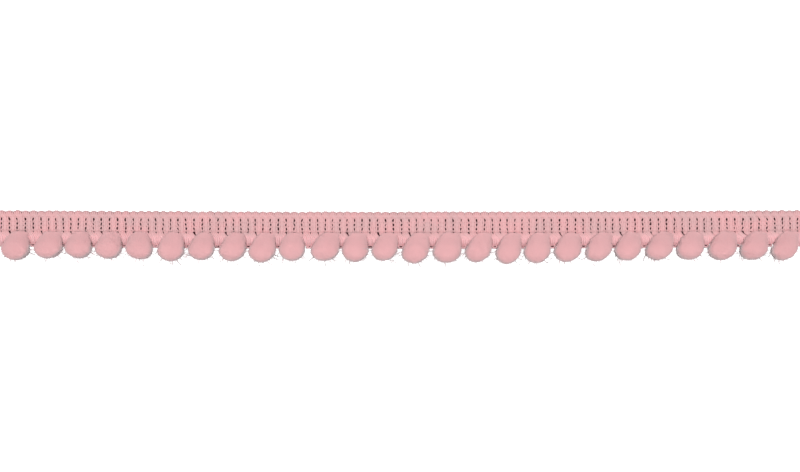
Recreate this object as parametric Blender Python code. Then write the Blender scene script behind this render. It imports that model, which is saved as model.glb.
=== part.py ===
"""A cut length of mini pompom fringe trim, lying face up on a flat surface.

A narrow crochet-knit heading of soft cotton yarn carries a row of velvety cut-pile pompoms
over its lower edge. X runs along the trim, +Y towards the scalloped top edge and +Z up off
the surface. The origin is the middle of the heading's flat back. All sizes are in metres.
"""
import math
import random
from collections import namedtuple

import bmesh
import bpy
from mathutils import Matrix, Vector, noise

MM = 0.001

# Heading: a warp-knit band whose weft bundles stand up as ribs across it.
RIBS = 106
RIB_PITCH = 1.531 * MM
STEPS_PER_RIB = 4              # sections lofted along each rib and its gap
RIB_HEIGHT = 1.30 * MM
GAP_HEIGHT = 0.98 * MM         # the valley between two ribs, over the holes
WEB_RIB_HEIGHT = 1.15 * MM     # the smoother floats behind the pompoms
WEB_GAP_HEIGHT = 1.02 * MM
EDGE_HEIGHT = 0.65 * MM        # the turned yarn loops at both edges
EDGE_SHOULDER = 0.35 * MM      # how far in from an edge the full height starts
RIBS_END = -0.70 * MM          # where the ribs pass under the last chain of stitches
WEB_START = -1.10 * MM
TOP_EDGE = 3.85 * MM           # crest of the scallops at the cut ends
BOTTOM_EDGE = -3.50 * MM       # tip of the small picots at the cut ends
SCALLOP_DEPTH = 0.38 * MM
PICOT_DEPTH = 0.28 * MM
NOTCH_SHARPNESS = 4            # 2 is a sine wave, more makes round lobes with narrow notches
TOP_BOW = 0.26 * MM            # how far each edge bows down at mid-length
BOTTOM_BOW = 0.47 * MM
EDGE_WANDER = 0.05 * MM        # unevenness along the edges
WANDER_LENGTH = 3 * RIB_PITCH  # over which it comes and goes
HALF_LENGTH = RIBS * RIB_PITCH / 2

# Pompoms: one to every fourth rib, nearly round from above. The pile comes out thin at its
# blunt top, where it lies on the heading, and thickens like a brush towards its cut free end.
POMPOM_PITCH = 4 * RIB_PITCH
POMPOM_TOP = -0.10 * MM        # at the cut ends
POMPOM_BOW = 0.36 * MM
POMPOM_HEIGHT = 4.40 * MM
POMPOM_SINK = 0.22 * MM        # how much of the round form the resting spot takes away
POMPOM_TAPER = 0.06            # share of the width lost at the top and gained at the bottom
POMPOM_BLUNT = 0.90            # 0 is a round top, 1 a square one
POMPOM_WEDGE = 0.62            # share of its thickness over the heading lost at the blunt top
WEDGE_REACH = 0.50             # the loss starts this far past the middle, as a share of the radius
PILE_LUMPS = 0.06              # lumpiness as a share of the radius
PILE_GRAIN = 2.1               # lumps across one radius
BALL_DETAIL = 3                # times the ball's twenty faces are divided, less one
PILE_SPREAD = 1.05             # the lumps and the locks widen the form by this much
NOISE_STEP = 10                # sets one pompom's lumps apart from the next one's
LOCKS = 11                     # tufts of pile that stand out round the lower rim
LOCK_FAN = math.radians(165)
LOCK_LENGTH = 0.15             # as a share of the radius
LOCK_TILT = 0.16               # locks stand alternately above and below the middle
CLEARANCE = 0.30 * MM          # air between one piece and the next
SEAT = RIB_HEIGHT + CLEARANCE  # the pile's underside over the heading

Pompom = namedtuple("Pompom", "sideways width reach lean")

# sideways: off its even place, in mm; width and reach below the origin: in mm;
# lean: in degrees, with the free end towards -X.
POMPOMS = [
    Pompom(0.08, 5.6, 6.10, 0),
    Pompom(0.53, 5.6, 5.70, 4),
    Pompom(0.39, 5.3, 5.65, -4),
    Pompom(0.26, 5.3, 5.80, 0),
    Pompom(0.29, 5.3, 5.85, -5),
    Pompom(0.44, 5.4, 6.25, 6),
    Pompom(0.30, 5.1, 6.05, -2),
    Pompom(0.43, 5.3, 6.35, 7),
    Pompom(0.28, 5.3, 6.55, 8),
    Pompom(0.04, 5.1, 6.25, -2),
    Pompom(0.59, 5.6, 6.20, 4),
    Pompom(0.42, 5.3, 6.35, 8),
    Pompom(0.07, 5.3, 6.25, 5),
    Pompom(0.13, 5.3, 6.75, 7),
    Pompom(0.48, 5.7, 6.65, 12),
    Pompom(0.23, 5.3, 6.45, 3),
    Pompom(0.16, 5.1, 6.80, 0),
    Pompom(-0.08, 5.3, 6.65, 2),
    Pompom(-0.15, 5.5, 6.45, 3),
    Pompom(-0.18, 5.3, 6.35, 9),
    Pompom(-0.44, 5.4, 6.15, 12),
    Pompom(-0.39, 5.4, 6.05, 12),
    Pompom(-0.24, 5.6, 6.00, 14),
    Pompom(0.01, 5.7, 6.05, 10),
    Pompom(0.07, 5.6, 6.05, 8),
    Pompom(0.08, 5.3, 6.10, 6),
]


def clear_scene():
    for leftover in list(bpy.data.objects):
        bpy.data.objects.remove(leftover, do_unlink=True)


def new_collection(name):
    collection = bpy.data.collections.new(name)
    bpy.context.scene.collection.children.link(collection)
    return collection


def yarn_material(name, colour, roughness):
    material = bpy.data.materials.new(name)
    material.use_nodes = True
    shader = material.node_tree.nodes["Principled BSDF"]
    shader.inputs["Base Color"].default_value = (*colour, 1.0)
    shader.inputs["Roughness"].default_value = roughness
    shader.inputs["Metallic"].default_value = 0.0
    return material


def object_from(bm, name, collection, material=None):
    mesh = bpy.data.meshes.new(name)
    bm.to_mesh(mesh)
    bm.free()
    if material:
        mesh.materials.append(material)
    thing = bpy.data.objects.new(name, mesh)
    collection.objects.link(thing)
    return thing


def loft(rings):
    """A closed body through rings of equally many points, capped at both ends."""
    bm = bmesh.new()
    loops = [[bm.verts.new(point) for point in ring] for ring in rings]
    for here, there in zip(loops, loops[1:]):
        for i in range(len(here)):
            j = (i + 1) % len(here)
            bm.faces.new((here[i], here[j], there[j], there[i]))
    bm.faces.new(loops[0])
    bm.faces.new(loops[-1])
    bmesh.ops.recalc_face_normals(bm, faces=bm.faces)
    return bm


def bowed(x, at_ends, bow):
    """Height of an edge at x: it stands at its end value and bows down at mid-length."""
    return at_ends - bow * (1 - (x / HALF_LENGTH) ** 2)


def wander(x, row):
    return EDGE_WANDER * noise.noise(Vector((x / WANDER_LENGTH, row, 0)))


def heading_section(step):
    """The band cut across at one step: 0 of each rib is its gap, half way is its crown."""
    phase = step / STEPS_PER_RIB
    x = (phase - RIBS / 2) * RIB_PITCH
    crown = abs(math.sin(math.pi * phase))
    notch = crown ** NOTCH_SHARPNESS
    top = bowed(x, TOP_EDGE, TOP_BOW) - SCALLOP_DEPTH * notch + wander(x, 1)
    bottom = bowed(x, BOTTOM_EDGE, BOTTOM_BOW) + PICOT_DEPTH * notch + wander(x, 2)
    rib = GAP_HEIGHT + (RIB_HEIGHT - GAP_HEIGHT) * crown
    web = WEB_GAP_HEIGHT + (WEB_RIB_HEIGHT - WEB_GAP_HEIGHT) * crown
    outline = (
        (top, 0.0),
        (top, EDGE_HEIGHT),
        (top - EDGE_SHOULDER, rib),
        (RIBS_END, rib),
        (WEB_START, web),
        (bottom + EDGE_SHOULDER, web),
        (bottom, EDGE_HEIGHT),
        (bottom, 0.0),
    )
    return [Vector((x, y, z)) for y, z in outline]


def make_heading(collection, material):
    sections = [heading_section(step) for step in range(RIBS * STEPS_PER_RIB + 1)]
    return object_from(loft(sections), "heading", collection, material)


def make_heading_room(collection):
    """The cutter that keeps the pile clear of the heading's face and lower edge."""
    reach = HALF_LENGTH + RIB_PITCH
    spans = 2 * len(POMPOMS)
    rings = []
    for i in range(spans + 1):
        x = reach * (2 * i / spans - 1)
        lip = bowed(x, BOTTOM_EDGE, BOTTOM_BOW) - EDGE_WANDER - CLEARANCE
        outline = ((TOP_EDGE, -SEAT), (TOP_EDGE, SEAT), (lip, SEAT), (lip, -SEAT))
        rings.append([Vector((x, y, z)) for y, z in outline])
    room = object_from(loft(rings), "heading_room", collection)
    room.hide_render = True
    room.display_type = "WIRE"
    return room


def pompom_centre(index):
    even = (index - (len(POMPOMS) - 1) / 2) * POMPOM_PITCH
    return even + POMPOMS[index].sideways * MM


def dividing_line(index):
    """Where pompom index ends and its right-hand neighbour begins."""
    if index < 0:
        return -HALF_LENGTH
    if index == len(POMPOMS) - 1:
        return HALF_LENGTH
    right_side = pompom_centre(index) + POMPOMS[index].width * MM / 2
    left_side = pompom_centre(index + 1) - POMPOMS[index + 1].width * MM / 2
    return (right_side + left_side) / 2


def lock_faces(bm):
    """Faces spread evenly round the lower rim of the unit ball, one for each lock."""
    faces = set()
    for i in range(LOCKS):
        angle = LOCK_FAN * (i / (LOCKS - 1) - 0.5)
        tilt = LOCK_TILT * (-1) ** i
        aim = Vector((math.sin(angle), -math.cos(angle), tilt)).normalized()
        free = [face for face in bm.faces if face not in faces]
        faces.add(min(free, key=lambda face: (face.calc_center_median() - aim).length))
    return list(faces)


def pompom_point(unit, index, row):
    """Takes a point of the lumpy unit ball to its place on the egg-shaped pile."""
    x = pompom_centre(index)
    top = bowed(x, POMPOM_TOP, POMPOM_BOW)
    half_length = (top + row.reach * MM) / 2 / (1 + LOCK_LENGTH / 2)
    across = unit.x * (row.width * MM / 2 / PILE_SPREAD) * (1 - POMPOM_TAPER * unit.y)
    upper = max(unit.y, 0)
    along = (unit.y + POMPOM_BLUNT * upper ** 2 * (1 - upper)) * half_length
    lean = Matrix.Rotation(-math.radians(row.lean), 2)
    across, along = lean @ Vector((across, along))
    half_height = (POMPOM_HEIGHT + POMPOM_SINK) / 2
    z = half_height - POMPOM_SINK + half_height * unit.z
    if z > SEAT:
        z = SEAT + (z - SEAT) * (1 - POMPOM_WEDGE * max(unit.y + WEDGE_REACH, 0) / (1 + WEDGE_REACH))
    return Vector((x + across, top - half_length + along, max(z, 0)))


def squeeze_between(bm, centre, left, right):
    """Presses each flank in evenly until it keeps its side of the dividing lines."""
    for side, wall in ((-1, left + CLEARANCE / 2), (1, right - CLEARANCE / 2)):
        room = side * (wall - centre)
        widest = max(side * (vert.co.x - centre) for vert in bm.verts)
        if widest <= room:
            continue
        for vert in bm.verts:
            if side * (vert.co.x - centre) > 0:
                vert.co.x = centre + (vert.co.x - centre) * room / widest


def make_pompom(index, row, room, collection, material):
    bm = bmesh.new()
    bmesh.ops.create_icosphere(bm, subdivisions=BALL_DETAIL, radius=1.0)
    turn = random.Random(index).uniform(0, math.tau)
    bmesh.ops.rotate(bm, verts=bm.verts, matrix=Matrix.Rotation(turn, 3, "Y"))
    bmesh.ops.poke(bm, faces=lock_faces(bm), offset=LOCK_LENGTH)
    for vert in bm.verts:
        lump = noise.noise(vert.co * PILE_GRAIN + Vector((0, 0, NOISE_STEP * index)))
        vert.co = pompom_point(vert.co * (1 + PILE_LUMPS * lump), index, row)
    squeeze_between(bm, pompom_centre(index), dividing_line(index - 1), dividing_line(index))
    pompom = object_from(bm, f"pompom_{index + 1:02d}", collection, material)
    cut = pompom.modifiers.new("clear of the heading", "BOOLEAN")
    cut.operation = "DIFFERENCE"
    cut.solver = "EXACT"
    cut.object = room
    return pompom


def main():
    clear_scene()
    parts = new_collection("pompom_fringe_trim")
    cutters = new_collection("cutters")
    rib_yarn = yarn_material("rib_yarn", (0.80, 0.44, 0.46), 0.85)
    pile_yarn = yarn_material("pile_yarn", (0.76, 0.42, 0.44), 0.95)
    make_heading(parts, rib_yarn)
    room = make_heading_room(cutters)
    for index, row in enumerate(POMPOMS):
        make_pompom(index, row, room, parts, pile_yarn)


main()
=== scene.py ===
import math

import bmesh
import bpy
from mathutils import Matrix, Vector, noise


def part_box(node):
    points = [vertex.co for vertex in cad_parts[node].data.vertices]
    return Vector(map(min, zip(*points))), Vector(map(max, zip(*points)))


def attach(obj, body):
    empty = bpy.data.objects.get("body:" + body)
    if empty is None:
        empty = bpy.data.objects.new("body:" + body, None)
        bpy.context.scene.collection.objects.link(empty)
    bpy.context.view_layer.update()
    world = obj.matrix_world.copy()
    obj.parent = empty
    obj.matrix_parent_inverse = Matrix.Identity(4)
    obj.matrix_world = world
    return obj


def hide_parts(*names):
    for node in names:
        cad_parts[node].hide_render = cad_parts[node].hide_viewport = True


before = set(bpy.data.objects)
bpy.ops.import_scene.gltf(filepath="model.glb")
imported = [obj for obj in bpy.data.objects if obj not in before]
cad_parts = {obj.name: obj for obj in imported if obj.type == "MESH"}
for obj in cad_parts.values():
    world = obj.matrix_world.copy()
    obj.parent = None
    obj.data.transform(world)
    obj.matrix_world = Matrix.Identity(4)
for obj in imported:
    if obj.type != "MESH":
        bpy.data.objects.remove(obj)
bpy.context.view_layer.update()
mm = 0.001

# how the trim lies, shared by every piece of the heading
trim = {
    "ribs": 106,
    "pompoms": 26,
    "topEdge": 3.99 * mm,       # crest of the scallops at the cut ends
    "bottomEdge": -3.42 * mm,   # tip of the picots at the cut ends
    "topBow": 0.26 * mm,        # both edges bow down at mid-length
    "bottomBow": 0.47 * mm,
    "wales": [2.63 * mm, 1.69 * mm, 0.87 * mm, 0.03 * mm],   # rows of chain stitches
    "seam": -0.20 * mm,         # groove under the last row, where the pile comes out
}
headingLow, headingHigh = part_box("heading")
halfLength = (headingHigh.x - headingLow.x) / 2
ribPitch = 2 * halfLength / trim["ribs"]
pompomCentres = [(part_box(f"pompom_{number:02d}")[0].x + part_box(f"pompom_{number:02d}")[1].x) / 2
                 for number in range(1, trim["pompoms"] + 1)]
print("frame loaded, rib pitch", round(ribPitch / mm, 3), "mm")


def smooth(start, end, value):
    t = min(max((value - start) / (end - start), 0), 1)
    return t * t * (3 - 2 * t)


def bell(centre, width, value):
    return math.exp(-((value - centre) / width) ** 2)


def drift(*place):
    return noise.noise(Vector(place))


def bowedY(x, y):
    share = (trim["topEdge"] - y) / (trim["topEdge"] - trim["bottomEdge"])
    bow = trim["topBow"] + (trim["bottomBow"] - trim["topBow"]) * share
    return y - bow * (1 - (x / halfLength) ** 2)


# the ribs crowd and spread in a rhythm of about twelve, on top of a slow wander: lengths in mm
ribDrift = {
    "slow": (0.35, -0.67, -0.99, 0.75, 0.81, -0.13),   # powers of the share of half the length
    "swing": -0.147,
    "swingRibs": 11.97,
}


# where a count of ribs from the left end lies along the trim
def ribPlace(count):
    x = (count - trim["ribs"] / 2) * ribPitch
    slow = sum(factor * (x / halfLength) ** power for power, factor in enumerate(ribDrift["slow"]))
    swing = ribDrift["swing"] * math.cos(math.tau * count / ribDrift["swingRibs"])
    return x + (slow + swing) * mm


def nearestGap(x):
    return min(range(trim["ribs"] + 1), key=lambda gap: abs(ribPlace(gap) - x))


def addNode(tree, kind, inputs=None, **settings):
    node = tree.nodes.new(kind)
    for key, value in settings.items():
        setattr(node, key, value)
    for key, value in (inputs or {}).items():
        if isinstance(value, bpy.types.NodeSocket):
            tree.links.new(value, node.inputs[key])
        else:
            node.inputs[key].default_value = value
    return node


def mathNode(tree, operation, first, second=0.0, clamp=False):
    node = addNode(tree, "ShaderNodeMath", {0: first, 1: second}, operation=operation)
    node.use_clamp = clamp
    return node.outputs[0]


def times(tree, first, second):
    return mathNode(tree, "MULTIPLY", first, second)


# brings a value from one range into another, and stops at its ends
def mapNode(tree, value, start=0.0, end=1.0, first=0.0, last=1.0, eased=True):
    return addNode(tree, "ShaderNodeMapRange",
                   {"Value": value, "From Min": start, "From Max": end, "To Min": first, "To Max": last},
                   interpolation_type="SMOOTHSTEP" if eased else "LINEAR").outputs["Result"]


def mixNumber(tree, factor, first, second):
    return mapNode(tree, factor, first=first, last=second, eased=False)


def separate(tree, vector):
    return addNode(tree, "ShaderNodeSeparateXYZ", {0: vector}).outputs


def combine(tree, x=0.0, y=0.0, z=0.0):
    return addNode(tree, "ShaderNodeCombineXYZ", {"X": x, "Y": y, "Z": z}).outputs[0]


def vectorNode(tree, operation, first, second=None, scale=None):
    inputs = {0: first}
    if second is not None:
        inputs[1] = second
    if scale is not None:
        inputs["Scale"] = scale
    return addNode(tree, "ShaderNodeVectorMath", inputs, operation=operation).outputs[0]


def attribute(tree, name, output="Fac"):
    return addNode(tree, "ShaderNodeAttribute", attribute_name=name).outputs[output]


def mixColour(tree, factor, first, second):
    return addNode(tree, "ShaderNodeMix", {0: factor, 6: first, 7: second}, data_type="RGBA").outputs[2]


# a node group with named sockets, its inputs' values and the sockets that its results go to
def newTree(name, kind, inputs, outputs):
    tree = bpy.data.node_groups.new(name, kind)
    for way, sockets in (("INPUT", inputs), ("OUTPUT", outputs)):
        for label, socket in sockets:
            tree.interface.new_socket(label, in_out=way, socket_type="NodeSocket" + socket)
    return tree, tree.nodes.new("NodeGroupInput").outputs, tree.nodes.new("NodeGroupOutput").inputs


def newGeometryTree(name, inputs):
    geometry = ("Geometry", "Geometry")
    return newTree(name, "GeometryNodeTree", (geometry, *inputs), (geometry,))


# runs a tree on the source object and keeps only the plain mesh
def growMesh(name, source, tree, values):
    modifier = source.modifiers.new("grow", "NODES")
    modifier.node_group = tree
    for item in tree.interface.items_tree:
        if item.in_out == "INPUT" and item.name in values:
            modifier[item.identifier] = values[item.name]
    graph = bpy.context.evaluated_depsgraph_get()
    mesh = bpy.data.meshes.new_from_object(source.evaluated_get(graph))
    mesh.name = name
    source.modifiers.clear()
    bpy.data.objects.remove(source)
    piece = bpy.data.objects.new(name, mesh)
    bpy.context.collection.objects.link(piece)
    return piece


# hangs a finished piece under the root and hides the imported parts that it replaces
def settle(piece, slot, *nodes):
    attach(piece, "root")
    if nodes:
        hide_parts(*nodes)
    print("  ", piece.name, len(piece.data.polygons), "faces")


# fine fibres that run along one axis: stretch the coordinates before they come in
def fibreGroup():
    inputs = (("Vector", "Vector"), ("Scale", "Float"), ("Depth", "Float"))
    outputs = (("Shade", "Float"), ("Height", "Float"))
    tree, given, out = newTree("fibreGrain", "ShaderNodeTree", inputs, outputs)
    fine = addNode(tree, "ShaderNodeTexNoise", {"Vector": given["Vector"], "Scale": given["Scale"],
                                                "Detail": 3.0, "Roughness": 0.6}).outputs["Fac"]
    spread = mapNode(tree, fine, 0.25, 0.75, -0.5, 0.5, eased=False)
    shade = times(tree, spread, given["Depth"])
    tree.links.new(mathNode(tree, "ADD", shade, 1.0), out["Shade"])
    tree.links.new(fine, out["Height"])
    return tree


# the twist of a plied yarn, from its way round and its way along
def plyGroup():
    inputs = (("Around", "Vector"), ("Along", "Float"), ("Plies", "Float"), ("Turn", "Float"))
    outputs = (("Groove", "Float"), ("Height", "Float"))
    tree, given, out = newTree("plyTwist", "ShaderNodeTree", inputs, outputs)
    parts = separate(tree, given["Around"])
    angle = mathNode(tree, "ARCTAN2", parts["Y"], parts["X"])
    turned = times(tree, mathNode(tree, "DIVIDE", given["Along"], given["Turn"]), math.tau)
    phase = mathNode(tree, "ADD", times(tree, angle, given["Plies"]), turned)
    crest = mathNode(tree, "ABSOLUTE", mathNode(tree, "SINE", times(tree, phase, 0.5)))
    tree.links.new(crest, out["Height"])
    groove = mathNode(tree, "POWER", mathNode(tree, "SUBTRACT", 1.0, crest), 3.0)
    tree.links.new(groove, out["Groove"])
    return tree


fibreGrain = fibreGroup()
plyTwist = plyGroup()


def startMaterial(name, roughness, sheen):
    material = bpy.data.materials.new(name)
    material.use_nodes = True
    tree = material.node_tree
    shader = tree.nodes["Principled BSDF"]
    shader.inputs["Roughness"].default_value = roughness
    shader.inputs["Specular IOR Level"].default_value = 0.25
    shader.inputs["Sheen Weight"].default_value = sheen
    shader.inputs["Sheen Roughness"].default_value = 0.5
    return material, tree, shader


def layFibres(tree, place, look):
    return addNode(tree, "ShaderNodeGroup", {"Vector": place, "Scale": look["fibreScale"],
                                             "Depth": look["fibreShade"]}, node_tree=fibreGrain).outputs


def finishSurface(tree, shader, colour, shade, height, look):
    shaded = vectorNode(tree, "SCALE", colour, scale=shade)
    tree.links.new(shaded, shader.inputs["Base Color"])
    ripple = addNode(tree, "ShaderNodeBump", {"Strength": look["relief"], "Distance": look["reliefDepth"],
                                              "Height": height})
    tree.links.new(ripple.outputs["Normal"], shader.inputs["Normal"])


# cotton yarn: plied, dyed a little unevenly; painted shade greys it low on its flanks and darkens its ply
# grooves, and its attribute of painted shade and light darkens it where it is 1 and paints it paler where it
# is -1
def yarnMaterial(name, look):
    material, tree, shader = startMaterial(name, look["roughness"], look["sheen"])
    coordinates = addNode(tree, "ShaderNodeTexCoord").outputs
    place = coordinates["Object"]
    twist = addNode(tree, "ShaderNodeGroup",
                    {"Around": attribute(tree, "around", "Vector"), "Along": attribute(tree, "along"),
                     "Plies": look["plies"], "Turn": look["turn"]}, node_tree=plyTwist).outputs
    stretched = addNode(tree, "ShaderNodeMapping", {"Vector": place, "Scale": look["fibreStretch"]})
    fibres = layFibres(tree, stretched.outputs["Vector"], look)
    dye = addNode(tree, "ShaderNodeTexNoise", {"Vector": place, "Scale": look["dyeScale"], "Detail": 2.0})
    vat = mapNode(tree, dye.outputs["Fac"], 0.35, 0.65, eased=False)
    # painted shade and painted light, set point by point on the yarn
    paintedShading = attribute(tree, "paintedShading")
    # painted shade: yarn that faces up is darkened where it lies in shadow, down in the holes, in the seam
    # groove, in a picot's eye and at the edges
    pit = mathNode(tree, "MAXIMUM", paintedShading, 0.0)
    # painted light, where the attribute is below 0
    pale = mathNode(tree, "MULTIPLY", paintedShading, -1.0, clamp=True)
    upward = mapNode(tree, separate(tree, coordinates["Normal"])["Z"], -0.1, 0.4, eased=False)
    # painted shade low on the flanks of yarn that faces up
    flank = mapNode(tree, separate(tree, place)["Z"], look["deep"], look["open"], look["flankShade"], 0.0)
    colour = mixColour(tree, vat, look["colour"], look["otherColour"])
    colour = mixColour(tree, pale, colour, look["paintedLightColour"])
    colour = mixColour(tree, times(tree, flank, upward), colour, look["paintedFlankColour"])
    colour = mixColour(tree, times(tree, pit, upward), colour, look["paintedShadeColour"])
    # painted shade in the grooves between the plies
    groove = times(tree, twist["Groove"], look["grooveShade"])
    colour = mixColour(tree, groove, colour, look["paintedShadeColour"])
    relief = mathNode(tree, "ADD", times(tree, fibres["Height"], look["fibreRelief"]), twist["Height"])
    finishSurface(tree, shader, colour, fibres["Shade"], relief, look)
    return material


# cut pile: painted shade deepens its colour at the root, greys it near the seam, in random patches, and
# darkens flanks that face a neighbour; a painted rim of sheen and shade greys its rim; each tuft has its own
# shade
def pileMaterial(name, look):
    material, tree, shader = startMaterial(name, look["roughness"], look["sheen"])
    place = addNode(tree, "ShaderNodeTexCoord").outputs["Object"]
    fibres = layFibres(tree, place, look)
    patch = addNode(tree, "ShaderNodeTexNoise", {"Vector": place, "Scale": look["patchScale"], "Detail": 1.0})
    # painted shade toward the seam, in random patches
    grey = mapNode(tree, separate(tree, place)["Y"], look["greyFrom"], look["greyTo"], look["greyLeast"], 1.0)
    grey = times(tree, patch.outputs["Fac"], grey)
    colour = mixColour(tree, attribute(tree, "ownShade"), look["colour"], look["otherColour"])
    colour = mixColour(tree, grey, colour, look["greyColour"])
    # painted shade deep in the pile, at the roots of the tufts
    colour = mixColour(tree, mapNode(tree, attribute(tree, "tip"), end=0.75), look["rootShadeColour"], colour)
    # painted sheen and shade at the rim
    rim = times(tree, attribute(tree, "rim"), look["rimShade"])
    colour = mixColour(tree, rim, colour, look["rimColour"])
    # painted shade on flanks that face a neighbour and near the table
    steep = times(tree, attribute(tree, "steep"), look["flankShade"])
    colour = mixColour(tree, steep, colour, look["paintedFlankColour"])
    finishSurface(tree, shader, colour, fibres["Shade"], fibres["Height"], look)
    return material


ribLook = {
    "colour": (0.79, 0.440, 0.450, 1),
    "otherColour": (0.71, 0.442, 0.447, 1),
    "paintedLightColour": (0.89, 0.510, 0.530, 1),
    # painted shade, for the holes, the grooves and the picots' eyes
    "paintedShadeColour": (0.07, 0.016, 0.022, 1),
    "paintedFlankColour": (0.36, 0.230, 0.240, 1),
    "deep": 0.35 * mm,          # painted shade: flanks turn grey from the open height down to the deep one
    "open": 0.95 * mm,
    "flankShade": 0.42,
    "dyeScale": 300.0,
    "plies": 3.0,
    "turn": 0.9 * mm,
    # how much painted shade lies in the grooves between the plies
    "grooveShade": 0.10,
    "fibreStretch": (1.0, 0.12, 1.0),
    "fibreScale": 16000.0,
    "fibreShade": 0.10,
    "fibreRelief": 0.45,        # as a share of the relief that the twist has
    "relief": 0.5,
    "reliefDepth": 0.03 * mm,
    "roughness": 0.88,
    "sheen": 0.25,
}
chainLook = dict(ribLook, colour=(0.83, 0.475, 0.485, 1), otherColour=(0.72, 0.45, 0.455, 1), plies=2.0,
                 turn=0.45 * mm, fibreStretch=(0.15, 1.0, 1.0), roughness=0.75, open=0.80 * mm)
pileLook = {
    "colour": (0.82, 0.480, 0.492, 1),
    "otherColour": (0.78, 0.464, 0.476, 1),
    "greyColour": (0.69, 0.480, 0.485, 1),
    "rootShadeColour": (0.77, 0.445, 0.458, 1),
    # painted sheen and shade for the rim
    "rimColour": (0.64, 0.545, 0.555, 1),
    "rimShade": 0.9,
    "paintedFlankColour": (0.11, 0.075, 0.080, 1),
    "flankShade": 0.9,
    "patchScale": 330.0,
    "greyFrom": -3.0 * mm,      # painted shade, greyer from here up to the seam, broken up by random patches
    "greyTo": -0.8 * mm,
    "greyLeast": 0.35,
    "relief": 0.3,
    "reliefDepth": 0.02 * mm,
    "fibreScale": 9000.0,
    "fibreShade": 0.12,
    "roughness": 0.95,
    "sheen": 0.15,
}
ribYarn = yarnMaterial("ribYarn", ribLook)
chainYarn = yarnMaterial("chainYarn", chainLook)
pilePink = pileMaterial("pilePink", pileLook)
print("materials made")


weft = {
    "strands": 4,                # side by side in a bundle, in each of two runs
    "sides": 6,
    "radius": 0.21 * mm,
    "backRadius": 0.24 * mm,
    "frontHeight": 1.09 * mm,
    "backHeight": 0.25 * mm,
    "crown": 0.14 * mm,          # the outer strands of a rib lie lower
    "ribSpacing": 0.276 * mm,
    "fanSpacing": 0.365 * mm,    # spread out over a scallop
    "fanRange": (2.6 * mm, 3.2 * mm),
    "backSpacing": 0.410 * mm,
    "picotSpacing": 0.170 * mm,  # the back passes draw together behind a picot
    "picotRange": (-1.6 * mm, -2.7 * mm),
    "bulge": 0.082 * mm,         # a rib is widest under a chain, which rounds the holes
    "bulgeReach": 0.26 * mm,
    "pinch": 0.09 * mm,          # where a chain of stitches ties the rib down
    "pinchReach": 0.2 * mm,
    "seamPinch": 0.12 * mm,      # the groove at the seam is as deep as it reaches to either side
    "webRise": 0.16 * mm,        # the web swells between the pompoms
    "webMiddle": -1.7 * mm,
    "webReach": 0.9 * mm,
    "scallopSink": 0.20 * mm,    # the front slopes down to both edges
    "scallopRange": (2.8 * mm, 3.4 * mm),
    "scallopNotch": 0.17 * mm,   # the outer strands turn back this much earlier
    "picotSink": 0.45 * mm,
    "picotSlope": (-2.2 * mm, -2.9 * mm),
    "topTurn": 0.36 * mm,        # how far the turn round an edge carries a strand
    "bottomTurn": 0.16 * mm,
    "topUneven": 0.08 * mm,
    "bottomUneven": 0.04 * mm,
    "endRoom": 0.03 * mm,        # the strands are cut off this far inside the solid's ends
    "ribSteps": 17,
    "webSteps": 8,
    "picotSteps": 3,
    "backSteps": 9,
    "turnSteps": 6,
    "frontSlide": ((-0.2 * mm, -1.6 * mm), (2.5 * mm, 3.3 * mm)),   # where a pass slides half a rib
    "backSlide": ((1.6 * mm, 3.4 * mm), (0.2 * mm, -2.4 * mm)),     # at its lower and upper ends
    "webSlide": (-0.2 * mm, -1.9 * mm),
    "seamShade": 0.10,           # painted shade in the groove under the last chain, with darker dashes
    "seamDash": 0.55,
    "dashLength": 0.8 * mm,
    "seamMark": 0.55,            # and a mark of painted shadow where each gap ends
    "webPale": 0.95,             # painted light: the web is painted paler, as it catches more light than the ribs
    "paleRange": (-0.5 * mm, -1.5 * mm),
    "edgeShade": 0.16,           # painted shade: the scallops are greyer at the edge, and most between them
    "picotShade": 0.85,          # painted shade in the eye of a picot
    "picotUneven": 1.2,
    "eyeRange": (-2.64 * mm, -2.84 * mm),
    "backShade": ((3.0 * mm, 2.7 * mm), (-3.2 * mm, -3.0 * mm)),    # the back passes are painted with shade between, where the holes show them
    "slit": 0.20 * mm,           # the weft parts at the left shoulder of each pompom
    "slitShare": (0.1, 0.7),     # the least and the usual share of that
    "slitUneven": 1.6,           # and how much it varies
    "slitPlace": -1.50 * mm,     # from the middle of the pompom to the gap where the slit starts
    "slitMiddle": -0.80 * mm,
    "slitReach": 0.55 * mm,
    "loose": ((3.3 * mm, 2.4 * mm), (-1.0 * mm, -0.2 * mm)),        # the ribs wander only between
    "wander": 0.090 * mm,        # the flanks of a rib are uneven, each on its own
    "wanderLength": 0.6 * mm,
    "gapWander": 0.150 * mm,     # and a gap is not quite straight
    "gapLength": 0.55 * mm,
    "strandWander": 0.008 * mm,
    "strandLength": 0.5 * mm,
}
# a front pass below the seam: half spacings of the inner and the outer pair, and the yarn's radius
webWay = (
    {"y": -0.14 * mm, "inner": 0.138 * mm, "outer": 0.414 * mm, "radius": 0.210 * mm},
    {"y": -0.62 * mm, "inner": 0.190 * mm, "outer": 0.570 * mm, "radius": 0.215 * mm},
    {"y": -2.25 * mm, "inner": 0.200 * mm, "outer": 0.600 * mm, "radius": 0.225 * mm},
    {"y": -2.75 * mm, "inner": 0.170 * mm, "outer": 0.570 * mm, "radius": 0.200 * mm},
    {"y": -3.05 * mm, "inner": 0.150 * mm, "outer": 0.500 * mm, "radius": 0.170 * mm},   # behind the picot
)
seamShadow = (-0.12 * mm, -0.20 * mm, -0.28 * mm)   # points across the groove, the middle one painted with shade
picotStart = -2.45 * mm
pompomLay = {
    "lean": (0.08, 0.13, 0.22),     # everywhere, more to the right, at random
    "leanFrom": 0.5,                # the height, as a share, about which a pompom leans
    "picotShift": 2.0 * mm,         # a lean of 1 moves the picot beside it so far
}


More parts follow.
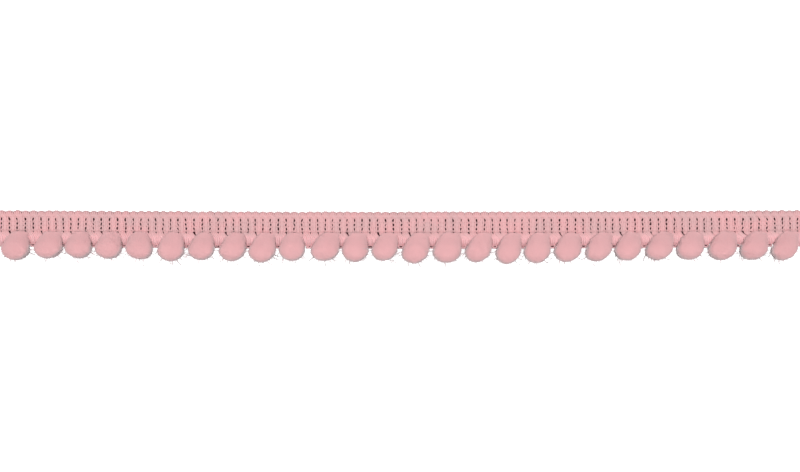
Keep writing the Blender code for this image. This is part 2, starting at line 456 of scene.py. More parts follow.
# how far a pompom's lower end lies to the left of its upper end, as a share of its width
def pompomLean(centre):
    always, rightward, random = pompomLay["lean"]
    return always + rightward * centre / halfLength + random * drift(centre / mm * 0.37, 1.5, 4.5)


def besidePicot(centre):
    return centre + pompomLean(centre) * pompomLay["picotShift"]


# the gap that ends in each picot, and where the picot lies
picotSpots = []
for left, right in zip(pompomCentres, pompomCentres[1:]):
    between = (besidePicot(left) + besidePicot(right)) / 2
    picotSpots.append((nearestGap(between), between))
picotGaps = {gap for gap, place in picotSpots}
slitGaps = {nearestGap(centre + weft["slitPlace"]) for centre in pompomCentres}


# how far the lower end of a gap is drawn aside, so that picots lie midway between the pompoms
def webShift(gap):
    if gap <= picotSpots[0][0]:
        return picotSpots[0][1] - ribPlace(picotSpots[0][0])
    for (gapBefore, before), (gapAfter, after) in zip(picotSpots, picotSpots[1:]):
        if gap <= gapAfter:
            share = (gap - gapBefore) / (gapAfter - gapBefore)
            return (before - ribPlace(gapBefore)) * (1 - share) + (after - ribPlace(gapAfter)) * share
    return picotSpots[-1][1] - ribPlace(picotSpots[-1][0])


def laneOf(strand):
    return 2 * strand / (weft["strands"] - 1) - 1


def alongWeb(y, column):
    for upper, lower in zip(webWay, webWay[1:]):
        if y >= lower["y"]:
            return upper[column] + (lower[column] - upper[column]) * smooth(upper["y"], lower["y"], y)
    return webWay[-1][column]


def nearWale(reach, y):
    return sum(bell(wale, reach, y) for wale in trim["wales"])


# how far a strand lies from the middle of its bundle
def laneOffset(lane, y, front):
    if front and y < webWay[0]["y"]:
        return math.copysign(alongWeb(y, "outer" if abs(lane) > 0.5 else "inner"), lane)
    start = weft["ribSpacing"] if front else weft["backSpacing"]
    spacing = start + (weft["fanSpacing"] - start) * smooth(*weft["fanRange"], y)
    if not front:
        spacing += (weft["picotSpacing"] - start) * smooth(*weft["picotRange"], y)
    elif y > 0:
        spacing += lane * lane * weft["bulge"] * nearWale(weft["bulgeReach"], y)
    return lane * (weft["strands"] - 1) / 2 * spacing


def weftHeight(y, lane, front):
    if not front:
        return weft["backHeight"]
    z = weft["frontHeight"] - weft["crown"] * lane * lane
    z -= weft["pinch"] * nearWale(weft["pinchReach"], y)
    z -= weft["seamPinch"] * bell(trim["seam"], weft["seamPinch"], y)
    z += weft["webRise"] * bell(weft["webMiddle"], weft["webReach"], y)
    z -= weft["scallopSink"] * smooth(*weft["scallopRange"], y)
    z -= weft["picotSink"] * smooth(*weft["picotSlope"], y)
    return z


# a front pass comes from the scallop on its left and leaves to the picot on its right
def weftSlide(y, front):
    rightward, leftward = weft["frontSlide"] if front else weft["backSlide"]
    return ribPitch / 2 * (smooth(*rightward, y) - smooth(*leftward, y))


# 1 between two ranges, at whose outer ends it has fallen to 0
def within(ranges, y):
    upper, lower = ranges
    return smooth(*upper, y) * smooth(*lower, y)


# a share that varies at random about its usual value, from the least up to 1
def varied(least, usual, uneven, *place):
    return min(max(least, usual + uneven * drift(*place)), 1)


# where one strand lies at one height, its radius there and its value of painted shade and light
def weftPoint(rib, strand, y, front):
    lane = laneOf(strand)
    spread = (ribPlace(rib + 1) - ribPlace(rib)) / ribPitch
    x = ribPlace(rib + 0.5) + (weftSlide(y, front) + laneOffset(lane, y, front)) * spread
    x += webShift(rib + 1 if front else rib) * smooth(*weft["webSlide"], y)
    z = weftHeight(y, lane, front)
    if not front:
        return [x, y, z, weft["backRadius"], within(weft["backShade"], y)]
    loose = within(weft["loose"], y)
    gap = rib + (lane > 0)
    if gap in slitGaps:
        parted = weft["slit"] * varied(*weft["slitShare"], weft["slitUneven"], gap * 1.3, 0.7, 6.1)
        x -= math.copysign(parted * lane * lane * bell(weft["slitMiddle"], weft["slitReach"], y), lane)
    side = 3.1 if lane > 0 else 0.0        # both flanks of a rib wander on their own
    x += weft["wander"] * loose * drift(rib * 3.7, y / weft["wanderLength"], 0.5 + side)
    x += weft["gapWander"] * loose * abs(lane) * drift(gap * 4.1, y / weft["gapLength"], 9.5)
    stray = weft["strandWander"] * drift(rib * 5.3, y / weft["strandLength"], strand * 7.7)
    thick = alongWeb(y, "radius") if y < webWay[0]["y"] else weft["radius"]
    inEye = rib + 1 in picotGaps and abs(lane) < 0.5       # the inner strands behind a picot, painted with shade in its eye
    eye = smooth(*weft["eyeRange"], y) if inEye else 0
    eye *= varied(0.0, weft["picotShade"], weft["picotUneven"], gap * 1.9, 3.3, 8.1)
    paintedShading = eye - weft["webPale"] * smooth(*weft["paleRange"], y) * (1 - eye)
    # painted shade along the groove, in dashes, and darker where each gap ends
    if y == seamShadow[1]:
        paintedShading = weft["seamShade"] + weft["seamDash"] * max(0, 2 * drift(x / weft["dashLength"], 6.5, 2.5))
        paintedShading += weft["seamMark"] * (abs(lane) > 0.5)
    return [x + stray, y, z + stray, thick, paintedShading]


# carries a strand round the edge of the band, from one face to the other
def weftTurn(strand, start, finish, side):
    lane = laneOf(strand)
    reach = weft["topTurn"] if side > 0 else weft["bottomTurn"]
    edgeY = webWay[-1]["y"]
    points = []
    for step in range(1, weft["turnSteps"] + 1):
        share = step / (weft["turnSteps"] + 1)
        x, y, z, thick, paintedShading = (a + (b - a) * share for a, b in zip(start, finish))
        z = (start[2] + finish[2]) / 2 + (start[2] - finish[2]) / 2 * math.cos(math.pi * share)
        if side > 0:
            # painted shade where the yarn turns over the top edge
            paintedShading += weft["edgeShade"] * (1 + lane * lane) / 2 * math.sin(math.pi * share)
        else:          # the picot's ring closes at the very edge
            frontEnd, backEnd = (start, finish) if start[2] > finish[2] else (finish, start)
            way = share if start[2] > finish[2] else 1 - share
            middle = frontEnd[0] - laneOffset(lane, frontEnd[1], True)
            edge = middle + laneOffset(lane, edgeY, True)
            x = frontEnd[0] + (edge - frontEnd[0]) * smooth(0, 0.5, way)
            x += (backEnd[0] - edge) * smooth(0.5, 1, way)
        points.append([x, y + side * reach * math.sin(math.pi * share), z, thick, paintedShading])
    return points


# where a strand leaves the face: the outer lanes turn back earlier, which rounds the scallop
def turnStart(gap, strand, side):
    lane = laneOf(strand)
    if side > 0:
        inset = weft["topTurn"] + weft["radius"] + weft["scallopNotch"] * lane * lane
        return trim["topEdge"] - inset + weft["topUneven"] * drift(gap * 2.3, 4.0, 0.5)
    return webWay[-1]["y"] + weft["bottomUneven"] * drift(gap * 2.9, 9.0, 0.5)


def evenly(start, end, steps):
    return [start + (end - start) * step / steps for step in range(steps + 1)]


# heights at which a pass has its points, closer together over the picot
def weftSteps(first, last, front):
    if not front:
        return evenly(first, last, weft["backSteps"])
    rib = evenly(first, seamShadow[0], weft["ribSteps"])[:-1]
    web = evenly(seamShadow[2], picotStart, weft["webSteps"])[1:-1]
    return rib + list(seamShadow) + web + evenly(picotStart, last, weft["picotSteps"])


# the parts of a line that lie between both cut ends
def cutOff(line):
    kept, inside, limit = [], False, halfLength - weft["endRoom"]
    for before, after in zip([None] + line, line):
        stays = abs(after[0]) <= limit
        if before and stays != inside:
            edge = math.copysign(limit, after[0] if inside else before[0])
            share = (edge - before[0]) / (after[0] - before[0])
            cut = [a + (b - a) * share for a, b in zip(before, after)]
            if stays:
                kept.append([cut])
            else:
                kept[-1].append(cut)
        if stays:
            if not before:
                kept.append([])
            kept[-1].append(after)
        inside = stays
    return [part for part in kept if len(part) > 1]


# one strand of one run, from the first rib to the last without a break
def weftLine(run, strand):
    line = []
    for rib in range(trim["ribs"]):
        front = rib % 2 == run
        top = turnStart(rib if front else rib + 1, strand, 1)
        bottom = turnStart(rib + 1 if front else rib, strand, -1)
        first, last = (top, bottom) if front else (bottom, top)
        stretch = [weftPoint(rib, strand, y, front) for y in weftSteps(first, last, front)]
        if line:
            line += weftTurn(strand, line[-1], stretch[0], 1 if front else -1)
        line += stretch
    for point in line:
        point[1] = bowedY(point[0], point[1])
    return line


# open lines as edges; each point has a place, the yarn's radius and a value of painted shade and light, 1
# dark and -1 pale
def lineMesh(name, lines):
    mesh = bpy.data.meshes.new(name)
    points = [point[:3] for line in lines for point in line]
    edges, start = [], 0
    for line in lines:
        edges += [(start + i, start + i + 1) for i in range(len(line) - 1)]
        start += len(line)
    mesh.from_pydata(points, edges, [])
    for column, label in ((3, "yarnRadius"), (4, "paintedShading")):
        values = mesh.attributes.new(label, "FLOAT", "POINT")
        values.data.foreach_set("value", [point[column] for line in lines for point in line])
    source = bpy.data.objects.new(name, mesh)
    bpy.context.collection.objects.link(source)
    return source


def placeOf(tree):
    return addNode(tree, "GeometryNodeInputPosition").outputs[0]


def mark(tree, geometry, name, value, domain="POINT", kind="FLOAT"):
    node = addNode(tree, "GeometryNodeStoreNamedAttribute", {"Geometry": geometry, "Name": name},
                   data_type=kind, domain=domain)
    tree.links.new(value, node.inputs["Value"])
    return node.outputs[0]


def named(tree, name, kind="FLOAT"):
    return addNode(tree, "GeometryNodeInputNamedAttribute", {"Name": name}, data_type=kind).outputs[0]


def dress(tree, geometry, given, out):
    dyed = addNode(tree, "GeometryNodeSetMaterial", {"Geometry": geometry, "Material": given["Material"]})
    tree.links.new(dyed.outputs[0], out[0])


# lines to round yarn, keeping the way round and the way along for the twist
def yarnTree():
    tree, given, out = newGeometryTree("spinYarn", (("Sides", "Int"), ("Material", "Material")))
    curve = addNode(tree, "GeometryNodeMeshToCurve", {"Mesh": given["Geometry"]})
    radius = named(tree, "yarnRadius")
    thick = addNode(tree, "GeometryNodeSetCurveRadius", {"Curve": curve.outputs[0], "Radius": radius})
    length = addNode(tree, "GeometryNodeSplineParameter").outputs["Length"]
    along = mark(tree, thick.outputs[0], "along", length)
    ring = addNode(tree, "GeometryNodeCurvePrimitiveCircle", {"Resolution": given["Sides"], "Radius": 1.0})
    around = mark(tree, ring.outputs[0], "around", placeOf(tree), kind="FLOAT_VECTOR")
    tube = addNode(tree, "GeometryNodeCurveToMesh",
                   {"Curve": along, "Profile Curve": around, "Fill Caps": True, "Scale": radius})
    soft = addNode(tree, "GeometryNodeSetShadeSmooth", {0: tube.outputs[0]})
    whole = addNode(tree, "GeometryNodeRealizeInstances", {0: soft.outputs[0]})
    dress(tree, whole.outputs[0], given, out)
    return tree


spinYarn = yarnTree()


def spin(name, lines, sides, yarn, *nodes):
    piece = growMesh(name, lineMesh(name + "Lines", lines), spinYarn, {"Sides": sides, "Material": yarn})
    settle(piece, "heading_yarn", *nodes)


def makeWeft():
    for run, name in ((0, "weftFirstRun"), (1, "weftSecondRun")):
        lines = [part for strand in range(weft["strands"]) for part in cutOff(weftLine(run, strand))]
        spin(name, lines, weft["sides"], ribYarn, "heading")
    print("weft laid")


picot = {
    "middle": -2.84 * mm,
    "halfWidth": 0.48 * mm,
    "halfHeight": 0.400 * mm,
    "height": 1.15 * mm,
    "tuck": 0.35 * mm,          # both ends dip in under the web
    "radius": 0.160 * mm,
    "reach": math.radians(130),   # how far a loop goes round to either side of its lowest point
    "tuckFrom": math.radians(85),   # and from where it dips in
    "wideUneven": 0.12,
    "lowUneven": 0.05 * mm,
    "steps": 14,
}


# the last yarn of the web loops out between two pompoms
def picotLine(gap, centre):
    line = []
    wide = 1 + picot["wideUneven"] * drift(gap * 3.1, 2.0, 8.0)
    middle = picot["middle"] + picot["lowUneven"] * drift(gap * 1.7, 5.0, 1.0)
    for step in range(picot["steps"] + 1):
        angle = (2 * step / picot["steps"] - 1) * picot["reach"]
        x = centre + picot["halfWidth"] * wide * math.sin(angle)
        y = middle - picot["halfHeight"] * math.cos(angle)
        z = picot["height"] - picot["tuck"] * smooth(picot["tuckFrom"], picot["reach"], abs(angle))
        # painted light: the whole loop is painted as pale as the web
        line.append([x, bowedY(x, y), z, picot["radius"], -weft["webPale"]])
    return line


def makePicots():
    spin("picotLoops", [picotLine(*spot) for spot in picotSpots], weft["sides"], ribYarn)
    print("picots looped")


chain = {
    "sides": 5,
    "gapRadius": 0.125 * mm,
    "ribRadius": 0.062 * mm,
    "apart": 0.098 * mm,        # the two legs of a stitch meet in a gap and part over a rib
    "apartOnRib": 0.150 * mm,
    "gapHeight": 0.93 * mm,
    "ribHeight": 1.19 * mm,
    "overUnder": 0.05 * mm,
    "uneven": 0.62,             # share by which a bar's yarn may be thinner than the next one's
    "stepsPerRib": 8,
    "backStepsPerRib": 4,
    "backHeight": 0.075 * mm,
    "backWave": 0.10 * mm,
    "wander": 0.05 * mm,
}


# one leg of a row of stitches, thick in the gaps and drawn thin over the ribs
def chainLine(wale, leg):
    line = []
    for step in range(trim["ribs"] * chain["stepsPerRib"] + 1):
        phase = step / chain["stepsPerRib"]
        x = min(max(ribPlace(phase), -halfLength), halfLength)
        onRib = abs(math.sin(math.pi * phase))
        apart = chain["apart"] + (chain["apartOnRib"] - chain["apart"]) * onRib
        y = wale + leg * apart + chain["wander"] * drift(phase * 0.9, wale / mm, 3.0)
        z = chain["gapHeight"] + (chain["ribHeight"] - chain["gapHeight"]) * onRib ** 0.7
        z += leg * chain["overUnder"] * math.cos(math.pi * phase)
        thinner = abs(drift(round(phase) * 1.9, wale / mm * 3, leg * 2.5)) * 2
        bar = chain["gapRadius"] * (1 - chain["uneven"] * thinner)
        thick = bar + (chain["ribRadius"] - bar) * onRib
        line.append([x, bowedY(x, y), z, thick, 0.0])
    return line


def chainBackLine(wale):
    line = []
    for step in range(trim["ribs"] * chain["backStepsPerRib"] + 1):
        x = min(max(ribPlace(step / chain["backStepsPerRib"]), -halfLength), halfLength)
        y = wale + chain["backWave"] * math.sin(math.pi * step / chain["backStepsPerRib"])
        line.append([x, bowedY(x, y), chain["backHeight"], chain["ribRadius"], 0.0])
    return line


def makeChains():
    legs = [chainLine(wale, leg) for wale in trim["wales"] for leg in (-1, 1)]
    spin("chainStitches", legs, chain["sides"], chainYarn)
    spin("chainBacks", [chainBackLine(wale) for wale in trim["wales"]], chain["sides"], chainYarn)
    print("chains stitched")


pile = {
    "voxel": 0.40 * mm,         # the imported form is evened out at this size
    "merge": 0.001 * mm,
    "soften": 0.6,
    "smoothTimes": 2,
    "inset": (0.09 * mm, 0.03 * mm, 0.16 * mm),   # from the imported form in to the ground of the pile
    "seamInset": 0.14 * mm,
    "wall": (0.30, 1.00),       # how upright its flanks are: at its free end, and over the heading
    "wallRange": (-0.2, 0.2),   # ranges and places are shares of half its size from its middle
    "poleRoom": 0.30,
    "ragged": 0.09 * mm,        # unevenness of the trimmed outline
    "raggedScale": 0.9 * mm,
    "raggedRange": (0.5, 0),    # but not of its straight end at the seam
    "square": 0.42,             # steeper flanks and a flatter top than a ball's
    "seat": 0.30 * mm,          # the pile's underside lies this far above the heading
    "thin": 0.60,               # share of its thickness there lost towards the seam
    "thinRange": (-0.05, 0.85),
    "blunt": 0.35,              # the pile leaves the seam almost at its full width
    "bluntRange": (0.60, 1),
    "leftBlunt": -0.30,         # but not on its left shoulder, where the weft parts
    "leftRange": (0.45, 0.9),
    "leftCut": 0.20,
    "leftCutRange": (-0.35, 0.45),
    "waist": 0.08,              # and is drawn in a little beside the picots
    "waistPlace": 0.15,
    "waistReach": 0.35,
    "sink": 0.22 * mm,          # the pile rests on the heading there
    "sinkRange": (0, 0.5),
    "floorGap": 0.015 * mm,
    "tuftSpacing": 0.104 * mm,
    "tuftLength": 0.30 * mm,
    "tuftRadius": 0.060 * mm,
    "tuftTilt": 0.42,           # how far the tufts stray from their way at random
    "hairSpacing": 0.46 * mm,
    "hairLength": 1.05 * mm,
    "hairRadius": 0.030 * mm,
    "hairTilt": 0.672,
    "crowd": 1.6,               # points tried on a square of the spacing
    "combUp": 0.15,             # none of the pile stands up against the heading
    "rootRise": 0.80 * mm,      # it fans out from a point this far above the seam
    "lowest": -0.6,             # no pile where the ground faces further down than this
    "lowestOver": -0.10,        # or than this over the heading
    "overFrom": 0.05 * mm,      # above the picots' tips the pile starts to lie over the heading
    "overReach": 0.60 * mm,
    "darkFrom": 1.30 * mm,      # painted shade: flanks turn dark from this height down
    "darkTo": 0.80 * mm,
    "darkFree": 0.15,           # how much painted shade where no neighbour is near
    "neighbourRise": 0.85 * mm, # and how much higher it starts where one is
    "neighbourFrom": -2.00 * mm,
    "neighbourTo": -2.60 * mm,
    "flatten": 0.08,            # cut ends catch the light almost alike all over the top
    "steepen": 0.80,            # and less alike on a dark flank
    "rimLift": 0.85,            # they face up at least this much
    "steepDrop": 0.50,          # less so on a dark flank
    "lift": 0.95,               # more so over the heading
    "liftFrom": -0.35,          # and not at all underneath
    "liftTo": 0.0,
    "rimFrom": 0.75,            # painted sheen and shade: the pile turns grey as it turns sideways
    "rimTo": 0.0,
    "rimHigh": 2.00 * mm,       # in full above this height, and hardly so below the next one
    "rimLow": 1.50 * mm,
    "rimLeast": 0.10,
}


# all of it fans out from the seam; tufts are cut shorter down the flanks and stand up a little,
# while stray hairs are greyer, do neither and keep off the heading
pileKinds = (
    {"label": "Hair", "segments": 3, "bend": 0.7, "blunt": 0.7, "stand": 0.0, "flankSize": 1.0,
     "highest": 0.45, "over": 0.2, "least": 0.35, "most": 2.1, "grey": 0.9, "comb": 0.6},
    {"label": "Tuft", "segments": 1, "bend": 0.0, "blunt": 0.45, "stand": 0.50, "flankSize": 0.70,
     "highest": 2.0, "over": 2.0, "least": 0.75, "most": 1.2, "grey": 0.0, "comb": 0.28},
)
fibreSizes = ("Spacing", "Length", "Radius", "Tilt")


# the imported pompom, evened out, squared up and drawn in, as the ground that the pile stands on
def pileCore(node):
    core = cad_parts[node].copy()
    core.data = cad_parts[node].data.copy()
    core.parent = None
    for key in list(core.keys()):
        del core[key]
    core.data.materials.clear()
    bpy.context.collection.objects.link(core)
    shape = bmesh.new()
    shape.from_mesh(core.data)
    bmesh.ops.remove_doubles(shape, verts=shape.verts, dist=pile["merge"])
    shape.to_mesh(core.data)
    shape.free()
    remesh = core.modifiers.new("even", "REMESH")
    remesh.mode = "VOXEL"
    remesh.voxel_size = pile["voxel"]
    even = core.modifiers.new("soft", "SMOOTH")
    even.factor = pile["soften"]
    even.iterations = pile["smoothTimes"]
    graph = bpy.context.evaluated_depsgraph_get()
    mesh = bpy.data.meshes.new_from_object(core.evaluated_get(graph))
    bpy.data.objects.remove(core)
    fitGround(mesh, *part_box(node))
    ground = bpy.data.objects.new(node + "Ground", mesh)
    bpy.context.collection.objects.link(ground)
    return ground


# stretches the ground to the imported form's box, less the room that the tufts take
def fitGround(mesh, low, high):
    inset = Vector(pile["inset"])
    low, high = low + inset, high - inset
    low.z = pile["floorGap"]
    high.y -= pile["seamInset"]
    ownLow = Vector([min(vert.co[axis] for vert in mesh.vertices) for axis in range(3)])
    ownHigh = Vector([max(vert.co[axis] for vert in mesh.vertices) for axis in range(3)])
    lean = pompomLean((low.x + high.x) / 2)
    free, over = pile["wall"]
    seat = headingHigh.z + pile["seat"]
    for vert in mesh.vertices:
        across, along, up = (2 * (vert.co[axis] - ownLow[axis]) / (ownHigh[axis] - ownLow[axis]) - 1
                             for axis in range(3))
        if up < 0:
            upright = free + (over - free) * smooth(*pile["wallRange"], along)
            outward = 1 + upright * (max(1 - up * up, pile["poleRoom"]) ** -0.5 - 1)
            outward = max(1, min(outward, 1 / max(math.hypot(across, along), 0.01)))
            across, along = across * outward, along * outward
        wider = 1 + pile["square"] * max(0, 1 - across * across - along * along)
        across *= 1 - pile["waist"] * bell(pile["waistPlace"], pile["waistReach"], along)
        if across > 0:
            across *= 1 + pile["blunt"] * smooth(*pile["bluntRange"], along)
        else:
            across *= 1 + pile["leftBlunt"] * smooth(*pile["leftRange"], along)
            across *= 1 - pile["leftCut"] * smooth(*pile["leftCutRange"], along)
        across = (across * wider + lean * (along + pompomLay["leanFrom"])) / math.hypot(1, lean)
        share = (across, along * wider, up)
        x, y, z = (low[axis] + (high[axis] - low[axis]) * (share[axis] + 1) / 2 for axis in range(3))
        x += pile["ragged"] * drift(x / pile["raggedScale"], y / pile["raggedScale"], 0.5)
        y += (pile["ragged"] * drift(x / pile["raggedScale"], y / pile["raggedScale"], 7.5)
              * smooth(*pile["raggedRange"], along))
        if z > seat:
            z = seat + (z - seat) * (1 - pile["thin"] * smooth(*pile["thinRange"], along))
        z = max(z - pile["sink"] * smooth(*pile["sinkRange"], along), pile["floorGap"])
        vert.co = (x, y, z)


# how far a place lies over the heading, from 0 on the free part of a pompom to 1
def overHeading(tree, given):
    end = mathNode(tree, "ADD", given["Lip"], pile["overReach"])
    return mapNode(tree, separate(tree, placeOf(tree))["Y"], given["Lip"], end)


# marks the way the pile faces the light, how grey its rim is painted with sheen and shade, and how dark its
# flank is painted with shade
def markFacing(tree, geometry, normal, given, grey=0.0):
    parts = separate(tree, normal)
    place = separate(tree, placeOf(tree))
    over = overHeading(tree, given)
    free = mathNode(tree, "SUBTRACT", 1.0, over)
    sideways = mathNode(tree, "ABSOLUTE", parts["X"])
    beside = mapNode(tree, place["Y"], pile["neighbourTo"], pile["neighbourFrom"], 1.0, 0.0)
    near = times(tree, sideways, beside)
    height = mathNode(tree, "SUBTRACT", place["Z"], times(tree, near, pile["neighbourRise"]))
    flank = mapNode(tree, height, pile["darkTo"], pile["darkFrom"], 1.0, 0.0)
    bare = times(tree, free, pile["darkFree"])
    steep = times(tree, flank, mathNode(tree, "MAXIMUM", near, bare))
    rim = mathNode(tree, "SUBTRACT", pile["rimLift"], times(tree, steep, pile["steepDrop"]))
    lifted = mathNode(tree, "MAXIMUM", rim, times(tree, over, pile["lift"]))
    upper = mapNode(tree, parts["Z"], pile["liftFrom"], pile["liftTo"])
    up = mixNumber(tree, upper, parts["Z"], mathNode(tree, "MAXIMUM", parts["Z"], lifted))
    share = mixNumber(tree, upper, 1.0, mixNumber(tree, steep, pile["flatten"], pile["steepen"]))
    facing = combine(tree, times(tree, parts["X"], share), times(tree, parts["Y"], share), up)
    turning = mapNode(tree, parts["Z"], pile["rimTo"], pile["rimFrom"], 1.0, 0.0)
    band = mapNode(tree, place["Z"], pile["rimLow"], pile["rimHigh"], pile["rimLeast"], eased=False)
    rimmed = times(tree, times(tree, turning, band), free)
    marked = mark(tree, geometry, "pileNormal", facing, kind="FLOAT_VECTOR")
    marked = mark(tree, marked, "rim", mathNode(tree, "MAXIMUM", rimmed, grey))
    return mark(tree, marked, "steep", steep)


# one fibre along Z, a cone without its base, blunt and bent to one side as its kind says
def fibreShape(tree, kind, length, radius):
    top = times(tree, radius, kind["blunt"])
    cone = addNode(tree, "GeometryNodeMeshCone",
                   {"Vertices": 3, "Side Segments": kind["segments"], "Radius Top": top,
                    "Radius Bottom": radius, "Depth": length})
    facing = addNode(tree, "GeometryNodeInputNormal").outputs[0]
    under = mathNode(tree, "LESS_THAN", separate(tree, facing)["Z"], -0.9)
    openCone = addNode(tree, "GeometryNodeDeleteGeometry", {"Geometry": cone.outputs[0], "Selection": under},
                       domain="FACE")
    share = mathNode(tree, "DIVIDE", separate(tree, placeOf(tree))["Z"], length)
    fibre = mark(tree, openCone.outputs[0], "tip", share)
    if kind["bend"]:
        lean = times(tree, times(tree, share, share), times(tree, length, kind["bend"]))
        fibre = addNode(tree, "GeometryNodeSetPosition",
                        {"Geometry": fibre, "Offset": combine(tree, lean)}).outputs[0]
    return fibre


# one kind of fibre, scattered over the ground; its inputs in the tree start with its label
def tuftBranch(tree, given, kind):
    spacing, length, radius, tilt = (given[kind["label"] + " " + size] for size in fibreSizes)
    groundUp = separate(tree, addNode(tree, "GeometryNodeInputNormal").outputs[0])["Z"]
    over = overHeading(tree, given)
    lowest = mathNode(tree, "ADD", pile["lowest"], times(tree, over, pile["lowestOver"] - pile["lowest"]))
    grown = times(tree, mathNode(tree, "GREATER_THAN", groundUp, lowest),
                  mathNode(tree, "LESS_THAN", groundUp, kind["highest"]))
    grown = times(tree, grown, mathNode(tree, "LESS_THAN", over, kind["over"]))
    crowd = mathNode(tree, "DIVIDE", pile["crowd"], times(tree, spacing, spacing))
    points = addNode(tree, "GeometryNodeDistributePointsOnFaces",
                     {"Mesh": given["Geometry"], "Selection": grown, "Distance Min": spacing,
                      "Density Max": crowd, "Seed": given["Seed"]}, distribute_method="POISSON").outputs
    fibre = fibreShape(tree, kind, length, radius)
    normal = points["Normal"]
    parts = separate(tree, normal)
    stood = markFacing(tree, points["Points"], normal, given, kind["grey"])
    mess = addNode(tree, "FunctionNodeRandomValue", {0: (-1, -1, -1), 1: (1, 1, 1), "Seed": given["Seed"]},
                   data_type="FLOAT_VECTOR").outputs[0]
    away = vectorNode(tree, "NORMALIZE", vectorNode(tree, "SUBTRACT", placeOf(tree), given["Root"]))
    upward = mathNode(tree, "ADD", parts["Z"], kind["stand"])
    aim = combine(tree, parts["X"], mathNode(tree, "MINIMUM", parts["Y"], pile["combUp"]), upward)
    aim = vectorNode(tree, "ADD", aim, vectorNode(tree, "SCALE", away, scale=kind["comb"]))
    aim = vectorNode(tree, "ADD", aim, vectorNode(tree, "SCALE", mess, scale=tilt))
    turned = addNode(tree, "FunctionNodeAlignRotationToVector", {"Vector": aim}, axis="Z").outputs[0]
    even = addNode(tree, "FunctionNodeRandomValue",
                   {2: kind["least"], 3: kind["most"], "Seed": given["Seed"]}, data_type="FLOAT").outputs[1]
    trimmed = mapNode(tree, parts["Z"], end=0.5, first=kind["flankSize"], eased=False)
    placed = addNode(tree, "GeometryNodeInstanceOnPoints",
                     {"Points": stood, "Instance": fibre, "Rotation": turned,
                      "Scale": times(tree, even, trimmed)})
    shade = addNode(tree, "FunctionNodeRandomValue", {"Seed": given["Seed"]}, data_type="FLOAT").outputs[1]
    return mark(tree, placed.outputs[0], "ownShade", shade, domain="INSTANCE")


# both kinds of fibre on their ground, resting on the table and facing the light as marked
def pileTree(name, kinds):
    inputs = [("Seed", "Int"), ("Material", "Material"), ("Lip", "Float"), ("Root", "Vector")]
    inputs += [(kind["label"] + " " + size, "Float") for kind in kinds for size in fibreSizes]
    tree, given, out = newGeometryTree(name, inputs)
    join = addNode(tree, "GeometryNodeJoinGeometry")
    for kind in kinds:
        tree.links.new(tuftBranch(tree, given, kind), join.inputs[0])
    own = addNode(tree, "GeometryNodeInputNormal").outputs[0]
    tree.links.new(markFacing(tree, given["Geometry"], own, given), join.inputs[0])
    whole = addNode(tree, "GeometryNodeRealizeInstances", {0: join.outputs[0]})
    parts = separate(tree, placeOf(tree))
    above = mathNode(tree, "MAXIMUM", parts["Z"], pile["floorGap"])
    rested = addNode(tree, "GeometryNodeSetPosition",
                     {"Geometry": whole.outputs[0], "Position": combine(tree, parts["X"], parts["Y"], above)})
    soft = addNode(tree, "GeometryNodeSetShadeSmooth", {0: rested.outputs[0]})
    facing = addNode(tree, "GeometryNodeSetMeshNormal", {"Mesh": soft.outputs[0]},
                     mode="FREE", domain="POINT")
    tree.links.new(named(tree, "pileNormal", "FLOAT_VECTOR"), facing.inputs["Custom Normal"])
    dress(tree, facing.outputs[0], given, out)
    return tree


def makePompoms():
    growPile = pileTree("growPile", pileKinds)
    values = {kind["label"] + " " + size: pile[kind["label"].lower() + size]
              for kind in pileKinds for size in fibreSizes}
    values["Material"] = pilePink
    for number in range(1, trim["pompoms"] + 1):
        node = f"pompom_{number:02d}"
        low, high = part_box(node)
        centre = (low.x + high.x) / 2
        own = {"Seed": number, "Lip": bowedY(centre, trim["bottomEdge"] + pile["overFrom"]),
               "Root": (centre, high.y + pile["rootRise"], (low.z + high.z) / 2)}
        piece = growMesh(f"pile_{number:02d}", pileCore(node), growPile, dict(values, **own))
        settle(piece, "pompom_pile", node)
    print("pompoms trimmed")


makeWeft()
makePicots()
makeChains()
makePompoms()


studio = {
    "floorSize": 3.0,
    "floorDrop": 0.05 * mm,
    "floorColour": (0.9, 0.9, 0.9, 1),
    "floorGlow": 0.9,
    "softboxSize": 0.38,
    "softboxHeight": 0.75,
    "softboxPower": 4.28,
    "fillStrength": 0.45,
    "cameraHeight": 0.330,
    "cameraX": 0.2 * mm,
    "cameraY": -1.27 * mm,
    "fieldOfView": math.radians(27.33),
}


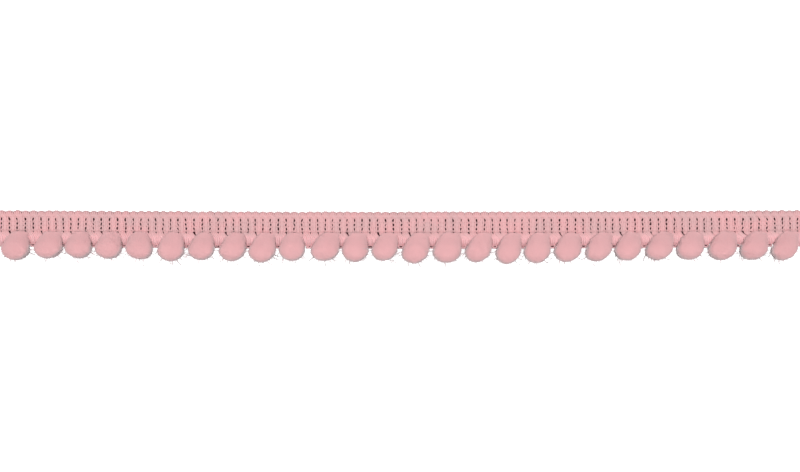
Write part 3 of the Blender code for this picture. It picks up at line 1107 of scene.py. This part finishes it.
def makeFloor():
    mesh = bpy.data.meshes.new("whiteTable")
    shape = bmesh.new()
    bmesh.ops.create_grid(shape, x_segments=1, y_segments=1, size=studio["floorSize"] / 2)
    shape.to_mesh(mesh)
    shape.free()
    mesh.transform(Matrix.Translation((0, 0, -studio["floorDrop"])))
    floor = bpy.data.objects.new("whiteTable", mesh)
    bpy.context.collection.objects.link(floor)
    material, tree, shader = startMaterial("whitePaper", 0.9, 0.0)
    shader.inputs["Base Color"].default_value = studio["floorColour"]
    shader.inputs["Emission Color"].default_value = (1, 1, 1, 1)
    shader.inputs["Emission Strength"].default_value = studio["floorGlow"]
    mesh.materials.append(material)
    floor.visible_diffuse = False
    floor.visible_glossy = False


def makeLight():
    scene = bpy.context.scene
    scene.view_settings.view_transform = "Standard"
    data = bpy.data.lights.new("softbox", "AREA")
    data.size = studio["softboxSize"]
    data.energy = studio["softboxPower"]
    lamp = bpy.data.objects.new("softbox", data)
    lamp.location = (0, 0, studio["softboxHeight"])
    scene.collection.objects.link(lamp)
    scene.world = bpy.data.worlds.new("studio")
    scene.world.use_nodes = True
    tree = scene.world.node_tree
    fill = tree.nodes["Background"]
    fill.inputs["Color"].default_value = (1, 1, 1, 1)
    fill.inputs["Strength"].default_value = studio["fillStrength"]
    seen = addNode(tree, "ShaderNodeBackground", {"Color": (1, 1, 1, 1), "Strength": 1.0})
    ray = addNode(tree, "ShaderNodeLightPath")
    mix = addNode(tree, "ShaderNodeMixShader", {0: ray.outputs["Is Camera Ray"], 1: fill.outputs[0],
                                                2: seen.outputs[0]})
    tree.links.new(mix.outputs[0], tree.nodes["World Output"].inputs["Surface"])


def makeCamera():
    data = bpy.data.cameras.new("camera")
    data.sensor_width = 36.0
    data.angle = studio["fieldOfView"]
    data.clip_start = 0.01
    data.clip_end = 20.0
    camera = bpy.data.objects.new("camera", data)
    camera.location = (studio["cameraX"], studio["cameraY"], studio["cameraHeight"])
    bpy.context.scene.collection.objects.link(camera)
    bpy.context.scene.camera = camera


makeFloor()
makeLight()
makeCamera()

print("scene ready")
